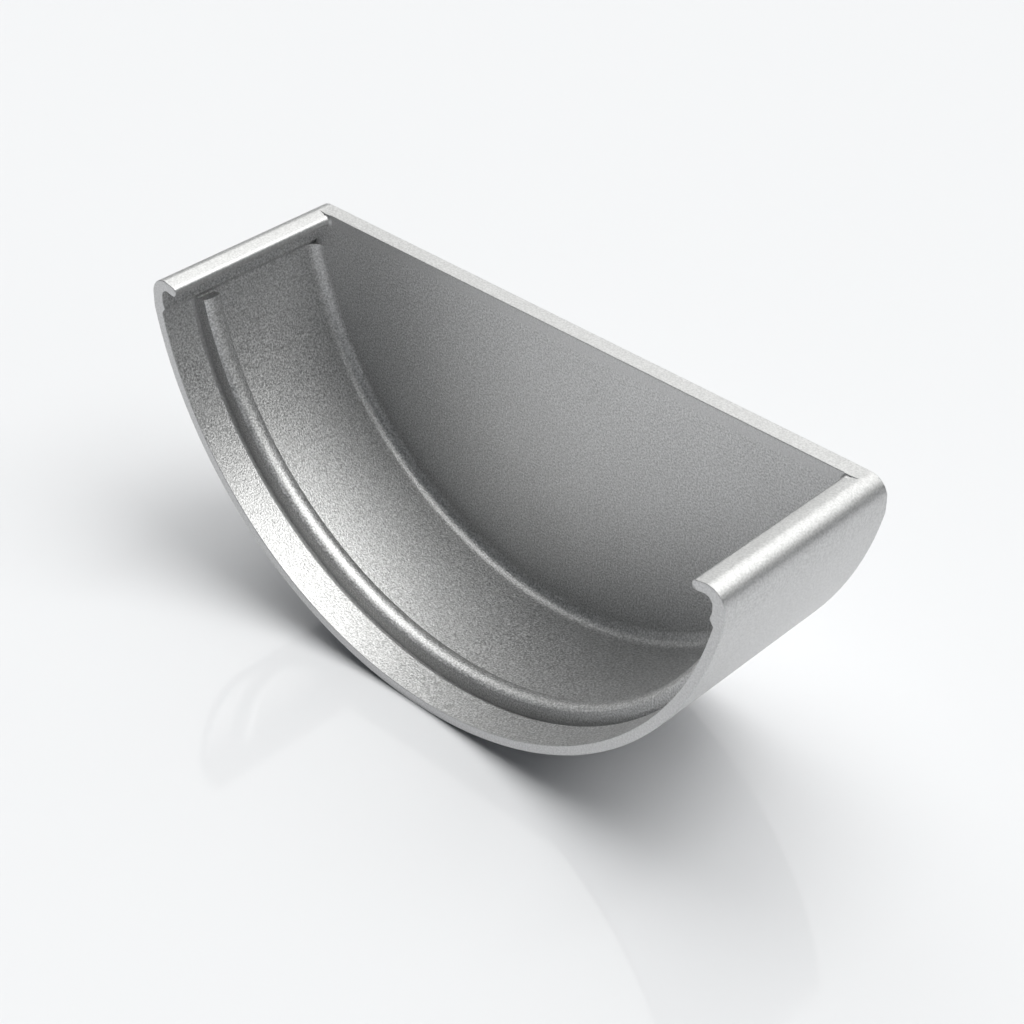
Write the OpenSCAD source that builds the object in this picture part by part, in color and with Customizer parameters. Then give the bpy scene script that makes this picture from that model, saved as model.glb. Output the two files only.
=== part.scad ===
// End cap for a half-round roof gutter, moulded in one piece.
// X runs across the gutter and Y along it, with the open edge at the front and the end wall behind.
// Z points up. The trough's axis lies along Y, and the cap rests on the lowest line of its trough.

/* [Trough] */
// Outer radius of the half-round trough
trough_r = 65; // [55:0.5:80]
// Thickness of the trough's wall
trough_wall = 1.8; // [1.4:0.1:2.4]
// Length of the cap along the gutter, end wall included
cap_len = 39.2; // [30:0.1:60]
// Thickness of the end wall
end_wall = 3.2; // [2:0.1:5]
// Radius of the fillet where the trough meets the end wall
end_fillet_r = 2.5; // [1:0.1:5]

/* [Hooked lips] */
// Drop from the trough's axis to the top of the lips and of the end wall
lip_drop = 5.7; // [5:0.1:9]
// Inset of the lips' outer sides from the trough's outer radius
lip_inset = 1.1; // [0.6:0.1:2]
// Outer radius of the bend at the top of each side
lip_bend_r = 3.6; // [3.3:0.1:4.6]
// Thickness of the lips, and so the diameter of their round noses
lip_t = 1.85; // [1.5:0.05:2.3]
// Thickness of each side beside its hook
lip_side_t = 2.4; // [2:0.1:2.8]
// Length of each lip from the top of its bend to the centre of its nose
lip_len = 2; // [1:0.1:3]
// Downward tilt of the lips towards their noses, in degrees
lip_tilt = 10; // [0:1:14]
// Radius inside the hook
hook_inner_r = 1.6; // [0.5:0.1:1.7]
// Radius of the fillet round each nose where it meets the end wall
nose_fillet_r = 0.7; // [0.3:0.1:1]

/* [Ledges] */
// Drop from the top of the lips to the point of each saw-tooth ledge
ledge_drop = 5.9; // [5.2:0.1:7]
// Height of the ledge's sloping upper face
ledge_slope_h = 1.2; // [0.8:0.1:1.6]
// How far the ledge's point stands in from the side of the hook
ledge_out = 0.4; // [0.2:0.1:0.8]
// Height of the ledge's undercut lower face
ledge_under_h = 1.1; // [0.6:0.1:1.8]

/* [Sealing rib] */
// Width of the plain band between the open edge and the groove
rim_band = 6.5; // [4:0.25:10]
// Width of the groove in front of the rib
groove_w = 1.4; // [0.8:0.1:2.5]
// Depth of the groove into the wall
groove_depth = 1; // [0.3:0.1:1.1]
// Width of the rib
rib_w = 3.6; // [2.6:0.1:4.5]
// Height of the rib's straight flanks
rib_flank_h = 1.9; // [1:0.1:3]
// Rise of the rib's round crown above its flanks
rib_crown_h = 0.7; // [0.3:0.1:1.1]
// Gap between each end of the rib and the ledge above it
rib_end_gap = 0.3; // [0.1:0.05:1.5]

/* [Hidden] */
$fn = 180;
// Overrun of cutting shapes, and overlap of joined ones
over = 0.5;
// Inner radius of the trough and the inner face of the end wall
bore_r = trough_r - trough_wall;
wall_y = cap_len - end_wall;
// Outer side and top of the right lip, and the centre of its bend
lip_x = trough_r - lip_inset;
bend_x = lip_x - lip_bend_r;
bend_z = -lip_drop - lip_bend_r;
// Inner side of the right hook
hook_x = lip_x - lip_side_t;
// Centre of the round corner inside the hook, which bites a little into the underside of the lip
corner_bite = 0.03;
corner_x = hook_x - hook_inner_r;
corner_drop = lip_t + hook_inner_r - corner_bite;
corner_z = -lip_drop + (corner_x - bend_x) * tan(lip_tilt) - corner_drop / cos(lip_tilt);
// Centre of the right lip's nose, and the inner edge of the hollow that lies under the lip
nose_x = bend_x - lip_len * cos(lip_tilt) + lip_t / 2 * sin(lip_tilt);
nose_z = -lip_drop - lip_len * sin(lip_tilt) - lip_t / 2 * cos(lip_tilt);
under_x = nose_x - lip_t;
// Point and root of the right ledge
ledge_x = hook_x - ledge_out;
ledge_z = -lip_drop - ledge_drop;
root_z = ledge_z - ledge_under_h;
root_x = sqrt(bore_r * bore_r - root_z * root_z);
root_angle = asin(-root_z / bore_r);
// Front and middle of the rib, its angle at the end, and how deep its foot stands in the wall
rib_y = rim_band + groove_w;
rib_mid_y = rib_y + rib_w / 2;
rib_end_angle = root_angle + rib_end_gap / bore_r * 180 / PI;
rib_root = (groove_depth + trough_wall) / 2;
// Radius and centre of the crown's arc
crown_r = (rib_w * rib_w / 4 + rib_crown_h * rib_crown_h) / (2 * rib_crown_h);
crown_c = bore_r - rib_flank_h - rib_crown_h + crown_r;

// Extrudes a section drawn in X and Z along Y, from y to y + len
module along(y, len) {
    translate([0, y + len, 0])
        rotate([90, 0, 0])
            linear_extrude(len)
                children();
}

// Turns a section drawn as radius and Y about the trough's axis, below the given angle on each side
module swing(side_angle) {
    rotate([-90, 0, 0])
        rotate_extrude(start = side_angle, angle = 180 - 2 * side_angle)
            children();
}

// Draws a shape and its mirror image on the other side of the gutter
module both_sides() {
    children();
    mirror([1, 0])
        children();
}

// Outline of the end wall: the trough's circle with upright sides, rounded top corners and a flat top
module outline() {
    intersection() {
        circle(trough_r);
        union() {
            translate([-lip_x, -trough_r])
                square([2 * lip_x, trough_r + bend_z]);
            translate([-bend_x, -trough_r])
                square([2 * bend_x, trough_r - lip_drop]);
            both_sides()
                translate([bend_x, bend_z])
                    circle(lip_bend_r);
        }
    }
}

// Right lip with its round nose, tilted down from the top of the bend
module lip() {
    translate([bend_x, -lip_drop])
        rotate(lip_tilt) {
            translate([-lip_len, -lip_t])
                square([lip_len, lip_t]);
            translate([-lip_len, -lip_t / 2])
                circle(d = lip_t);
        }
}

// Hollow of the right hook: its round corner, and the space down to the ledge and across to the mouth
module hook_hollow() {
    translate([corner_x, corner_z])
        circle(hook_inner_r);
    polygon([
        [under_x, root_z],
        [root_x, root_z],
        [ledge_x, ledge_z],
        [hook_x, ledge_z + ledge_slope_h],
        [hook_x, corner_z],
        [corner_x, corner_z],
        [corner_x, nose_z],
        [under_x, nose_z]
    ]);
}

// Mouth of the cap between the two noses, and above the lips between the two bends
module mouth() {
    translate([-nose_x, root_z])
        square([2 * nose_x, trough_r - root_z]);
    translate([-bend_x, -lip_drop - lip_t / 2])
        square([2 * bend_x, trough_r]);
}

// Space above the trough, with the lips left standing in it
module upper_hollow() {
    difference() {
        union() {
            mouth();
            both_sides()
                hook_hollow();
        }
        both_sides()
            lip();
    }
}

// Section of the space inside the trough: its bore, the fillet at the end wall and the groove
module trough_space() {
    translate([0, -over])
        square([bore_r - end_fillet_r, wall_y + over]);
    translate([0, -over])
        square([bore_r, wall_y - end_fillet_r + over]);
    translate([bore_r - end_fillet_r, wall_y - end_fillet_r])
        circle(end_fillet_r);
    translate([0, rim_band])
        square([bore_r + groove_depth, groove_w]);
}

// Section of the rib: straight flanks with a round crown towards the axis
module rib_section() {
    intersection() {
        translate([crown_c - crown_r - over, rib_y])
            square([bore_r + rib_root - crown_c + crown_r + over, rib_w]);
        translate([crown_c, rib_mid_y]) {
            circle(crown_r);
            translate([0, -crown_r])
                square([trough_r, 2 * crown_r]);
        }
    }
}

// Section of a nose where it flares out to meet the end wall
module nose_flare() {
    difference() {
        translate([0, wall_y - nose_fillet_r])
            square([lip_t / 2 + nose_fillet_r, nose_fillet_r + over]);
        translate([lip_t / 2 + nose_fillet_r, wall_y - nose_fillet_r])
            circle(nose_fillet_r);
    }
}

// Fillet round the right nose at the end wall, up to the top of the wall
module nose_fillet() {
    intersection() {
        translate([bend_x, 0, -lip_drop])
            rotate([0, -lip_tilt, 0])
                translate([-lip_len, 0, -lip_t / 2])
                    rotate([-90, 0, 0])
                        rotate_extrude()
                            nose_flare();
        along(0, cap_len)
            outline();
    }
}

module end_cap() {
    color("silver") {
        difference() {
            along(0, cap_len)
                outline();
            along(-over, wall_y + over)
                upper_hollow();
            swing(root_angle)
                trough_space();
        }
        swing(rib_end_angle)
            rib_section();
        for (side = [0, 1])
            mirror([side, 0, 0])
                nose_fillet();
    }
}

end_cap();
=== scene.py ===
import math

import bmesh
import bpy
from mathutils import Matrix, Vector


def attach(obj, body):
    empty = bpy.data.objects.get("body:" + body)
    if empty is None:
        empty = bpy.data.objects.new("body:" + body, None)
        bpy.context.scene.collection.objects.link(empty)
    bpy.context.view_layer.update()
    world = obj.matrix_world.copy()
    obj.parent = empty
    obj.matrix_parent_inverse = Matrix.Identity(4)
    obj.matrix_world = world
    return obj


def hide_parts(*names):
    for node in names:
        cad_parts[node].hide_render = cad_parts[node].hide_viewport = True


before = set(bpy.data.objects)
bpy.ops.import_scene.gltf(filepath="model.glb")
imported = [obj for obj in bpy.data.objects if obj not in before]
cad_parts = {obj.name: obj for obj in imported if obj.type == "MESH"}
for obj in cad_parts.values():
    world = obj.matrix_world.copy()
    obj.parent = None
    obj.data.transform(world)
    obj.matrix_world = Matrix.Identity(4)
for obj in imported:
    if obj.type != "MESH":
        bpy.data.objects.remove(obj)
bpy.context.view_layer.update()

# Sizes of the moulding that its edges are found by, in metres
TROUGH_R = 0.065
CAP_LEN = 0.0392
WALL_Y = 0.036
LIP_DROP = 0.0057
NOSE_X = 0.0575
LEDGE_Z = -0.0116

# Rounding of the moulded edges, in metres and in steps
EDGE_R = 0.00016
EDGE_STEPS = 4
# Least turn between two faces that counts as an edge, in degrees
EDGE_TURN = 35.0
# How near a corner lies to the plane that it is found by, and how near two corners count as one
NEAR = 0.00002
MERGE = 0.000001

# Silver plastic: how metallic it is, its middle grey and its middle roughness
METALLIC = 0.95
GREY = 0.59
ROUGH = 0.46
# Metallic fleck: its size in metres, and how far it moves the grey and the roughness
FLECK_SIZE = 0.00033
FLECK_DETAIL = 1.0
FLECK_GREY = 0.2
FLECK_ROUGH = 0.08
# Faint cloudy tones
CLOUD_SIZE = 0.012
CLOUD_DETAIL = 3.0
CLOUD_GREY = 0.01
# Slight grain of the surface
GRAIN_SIZE = 0.0003
GRAIN_DETAIL = 2.0
GRAIN_DEPTH = 0.00007
# Roughness of every noise, and the values between which a noise mostly lies
NOISE_ROUGH = 0.5
NOISE_RANGE = (0.3, 0.7)

# Share of the grain on the skin. The skin lies outside a radius, above a height, at the open edge's
# face and at the outer face of the end wall, each with the places where the change starts and ends
SKIN_GRAIN = 0.4
SKIN_R = (0.0633, 0.0639)
LIP_SKIN_Z = (-0.0085, -0.0075)
FACE_Y = (0.0003, 0.0001)
REAR_Y = (0.0375, 0.0385)

# Floor: its colour, and the roughness and share of its gloss
FLOOR_COLOUR = (0.76, 0.765, 0.785, 1.0)
FLOOR_ROUGH = 0.06
FLOOR_GLOSS = 0.05
FLOOR_HALF = 10.0

# Soft lamps above, behind and at the right: azimuth, elevation, strength and spread of each, with
# the angles in degrees
LAMPS = {
    "top": (180.0, 84.0, 1.12, 55.0),
    "right": (122.0, 60.0, 1.55, 45.0),
    "left": (222.0, 55.0, 1.35, 70.0),
    "side": (90.0, 35.0, 0.15, 40.0),
}
LAMP_COLOUR = (1.0, 1.0, 0.98)
WORLD_COLOUR = (0.75, 0.88, 1.0, 1.0)
WORLD_STRENGTH = 0.05

# Camera: its direction from the object and its roll in degrees, and its lens
AZIMUTH = 43.082
ELEVATION = 36.211
ROLL = 0.766
FOCAL_MM = 77.161
SENSOR_MM = 36.0
CLIP_START = 0.01
CLIP_END = 20.0
# Place of the camera along its own axes, in trough radii
BACK = 5.24739
RIGHT = 0.24621
UP = -0.297


def toward(azimuth, elevation):
    """Direction of a place seen from the object. Azimuth 0 is in front, at -Y, and 90 at +X."""
    a = math.radians(azimuth)
    e = math.radians(elevation)
    return Vector((math.sin(a) * math.cos(e), -math.cos(a) * math.cos(e), math.sin(e)))


def make_camera():
    a = math.radians(AZIMUTH)
    r = math.radians(ROLL)
    back = toward(AZIMUTH, ELEVATION)
    level = Vector((math.cos(a), math.sin(a), 0.0))
    rise = back.cross(level)
    x_axis = math.cos(r) * level + math.sin(r) * rise
    y_axis = math.cos(r) * rise - math.sin(r) * level
    data = bpy.data.cameras.new("camera")
    data.lens = FOCAL_MM
    data.sensor_width = SENSOR_MM
    data.clip_start = CLIP_START
    data.clip_end = CLIP_END
    cam = bpy.data.objects.new("camera", data)
    place = (BACK * back + RIGHT * x_axis + UP * y_axis) * TROUGH_R
    turn = Matrix((x_axis, y_axis, back)).transposed()
    cam.matrix_world = Matrix.Translation(place) @ turn.to_4x4()
    bpy.context.scene.collection.objects.link(cam)
    bpy.context.scene.camera = cam


def remap(tree, source, start, end, low, high):
    """Turns start to end into low to high, and holds the value beyond them."""
    node = tree.nodes.new("ShaderNodeMapRange")
    tree.links.new(source, node.inputs["Value"])
    for name, value in zip(("From Min", "From Max", "To Min", "To Max"), (start, end, low, high)):
        node.inputs[name].default_value = value
    return node.outputs["Result"]


def combine(tree, operation, first, second):
    node = tree.nodes.new("ShaderNodeMath")
    node.operation = operation
    tree.links.new(first, node.inputs[0])
    tree.links.new(second, node.inputs[1])
    return node.outputs["Value"]


def noise(tree, place, size, detail):
    node = tree.nodes.new("ShaderNodeTexNoise")
    node.inputs["Scale"].default_value = 1.0 / size
    node.inputs["Detail"].default_value = detail
    node.inputs["Roughness"].default_value = NOISE_ROUGH
    tree.links.new(place, node.inputs["Vector"])
    return node.outputs["Fac"]


def vary(tree, source, strength, middle, half):
    """Turns a noise into a value that varies about a middle one."""
    centred = remap(tree, source, NOISE_RANGE[0], NOISE_RANGE[1], -half, half)
    node = tree.nodes.new("ShaderNodeMath")
    node.operation = "ADD"
    tree.links.new(combine(tree, "MULTIPLY", centred, strength), node.inputs[0])
    node.inputs[1].default_value = middle
    return node.outputs["Value"]


def grain_strength(tree, place):
    """Full grain inside the trough, and less on its outer skin, the lips and the two end faces."""
    split = tree.nodes.new("ShaderNodeSeparateXYZ")
    tree.links.new(place, split.inputs["Vector"])
    x, y, z = (split.outputs[axis] for axis in "XYZ")
    squares = combine(tree, "ADD", combine(tree, "MULTIPLY", x, x), combine(tree, "MULTIPLY", z, z))
    outside = remap(tree, squares, SKIN_R[0] ** 2, SKIN_R[1] ** 2, 0.0, 1.0)
    lips = remap(tree, z, LIP_SKIN_Z[0], LIP_SKIN_Z[1], 0.0, 1.0)
    face = remap(tree, y, FACE_Y[0], FACE_Y[1], 0.0, 1.0)
    rear = remap(tree, y, REAR_Y[0], REAR_Y[1], 0.0, 1.0)
    ends = combine(tree, "MAXIMUM", face, rear)
    skin = combine(tree, "MAXIMUM", combine(tree, "MAXIMUM", outside, lips), ends)
    return remap(tree, skin, 0.0, 1.0, 1.0, SKIN_GRAIN)


def silver_plastic():
    """Satin plastic moulded with a fine metallic fleck, with a slight grain and faint cloudy tones."""
    mat = bpy.data.materials.new("silver_plastic")
    mat.use_nodes = True
    tree = mat.node_tree
    bsdf = tree.nodes["Principled BSDF"]
    bsdf.inputs["Metallic"].default_value = METALLIC
    place = tree.nodes.new("ShaderNodeTexCoord").outputs["Object"]
    strength = grain_strength(tree, place)
    fleck = noise(tree, place, FLECK_SIZE, FLECK_DETAIL)
    cloud = noise(tree, place, CLOUD_SIZE, CLOUD_DETAIL)
    tone = vary(tree, fleck, strength, GREY, FLECK_GREY)
    grey = combine(tree, "ADD", tone, vary(tree, cloud, strength, 0.0, CLOUD_GREY))
    colour = tree.nodes.new("ShaderNodeCombineColor")
    for channel in ("Red", "Green", "Blue"):
        tree.links.new(grey, colour.inputs[channel])
    tree.links.new(colour.outputs["Color"], bsdf.inputs["Base Color"])
    tree.links.new(vary(tree, fleck, strength, ROUGH, FLECK_ROUGH), bsdf.inputs["Roughness"])
    bump = tree.nodes.new("ShaderNodeBump")
    bump.inputs["Distance"].default_value = GRAIN_DEPTH
    tree.links.new(strength, bump.inputs["Strength"])
    tree.links.new(noise(tree, place, GRAIN_SIZE, GRAIN_DETAIL), bump.inputs["Height"])
    tree.links.new(bump.outputs["Normal"], bsdf.inputs["Normal"])
    return mat


def floor_material():
    """Pale board with a faint gloss that is the same at every angle of view."""
    mat = bpy.data.materials.new("floor")
    mat.use_nodes = True
    tree = mat.node_tree
    tree.nodes.remove(tree.nodes["Principled BSDF"])
    matt = tree.nodes.new("ShaderNodeBsdfDiffuse")
    matt.inputs["Color"].default_value = FLOOR_COLOUR
    gloss = tree.nodes.new("ShaderNodeBsdfAnisotropic")
    gloss.inputs["Roughness"].default_value = FLOOR_ROUGH
    mix = tree.nodes.new("ShaderNodeMixShader")
    mix.inputs["Fac"].default_value = FLOOR_GLOSS
    tree.links.new(matt.outputs["BSDF"], mix.inputs[1])
    tree.links.new(gloss.outputs["BSDF"], mix.inputs[2])
    tree.links.new(mix.outputs["Shader"], tree.nodes["Material Output"].inputs["Surface"])
    return mat


def near(value, target):
    return abs(value - target) < NEAR


def is_moulded_edge(edge):
    """Tells the edges to round: at both ends, along the end wall's top and at the ledges' points."""
    a, b = (v.co for v in edge.verts)
    if near(a.y, b.y):
        if near(a.y, 0.0) or near(a.y, CAP_LEN):
            return True
        if near(a.y, WALL_Y) and near(a.z, -LIP_DROP) and near(b.z, -LIP_DROP):
            return max(abs(a.x), abs(b.x)) < NOSE_X
        return False
    return near(a.z, LEDGE_Z) and near(b.z, LEDGE_Z)


def moulded_mesh(node):
    """Copy of the node's mesh with its moulded edges rounded and its other edges crisp."""
    bm = bmesh.new()
    bm.from_mesh(node.data)
    bmesh.ops.remove_doubles(bm, verts=bm.verts, dist=MERGE)
    turn = math.radians(EDGE_TURN)
    sharp = [e for e in bm.edges if e.is_manifold and e.calc_face_angle() > turn]
    rounded = [e for e in sharp if is_moulded_edge(e)]
    bmesh.ops.bevel(bm, geom=rounded, offset=EDGE_R, offset_type="OFFSET", segments=EDGE_STEPS,
                    profile=0.5, affect="EDGES", clamp_overlap=False, loop_slide=True)
    bm.normal_update()
    for face in bm.faces:
        face.smooth = True
    for edge in bm.edges:
        edge.smooth = edge.is_manifold and edge.calc_face_angle() < turn
    mesh = bpy.data.meshes.new("cap_moulding")
    bm.to_mesh(mesh)
    bm.free()
    return mesh


def make_cap(node):
    mesh = moulded_mesh(node)
    mesh.materials.append(silver_plastic())
    piece = bpy.data.objects.new("cap_moulding", mesh)
    bpy.context.scene.collection.objects.link(piece)
    normals = piece.modifiers.new("normals", "WEIGHTED_NORMAL")
    normals.keep_sharp = True
    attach(piece, "root")
    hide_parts("end_cap")


def make_floor():
    mesh = bpy.data.meshes.new("floor")
    s = FLOOR_HALF
    mesh.from_pydata([(-s, -s, 0), (s, -s, 0), (s, s, 0), (-s, s, 0)], [], [(0, 1, 2, 3)])
    floor = bpy.data.objects.new("floor", mesh)
    floor.location = (0, 0, -TROUGH_R)
    mesh.materials.append(floor_material())
    bpy.context.scene.collection.objects.link(floor)


def make_light():
    for name, (azimuth, elevation, strength, spread) in LAMPS.items():
        data = bpy.data.lights.new(name, "SUN")
        data.energy = strength
        data.color = LAMP_COLOUR
        data.angle = math.radians(spread)
        lamp = bpy.data.objects.new(name, data)
        lamp.rotation_euler = toward(azimuth, elevation).to_track_quat("Z", "Y").to_euler()
        bpy.context.scene.collection.objects.link(lamp)
    world = bpy.data.worlds.new("world")
    world.use_nodes = True
    background = world.node_tree.nodes["Background"]
    background.inputs["Color"].default_value = WORLD_COLOUR
    background.inputs["Strength"].default_value = WORLD_STRENGTH
    bpy.context.scene.world = world
    bpy.context.scene.view_settings.view_transform = "Standard"


make_camera()
make_cap(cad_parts["end_cap"])
make_floor()
make_light()
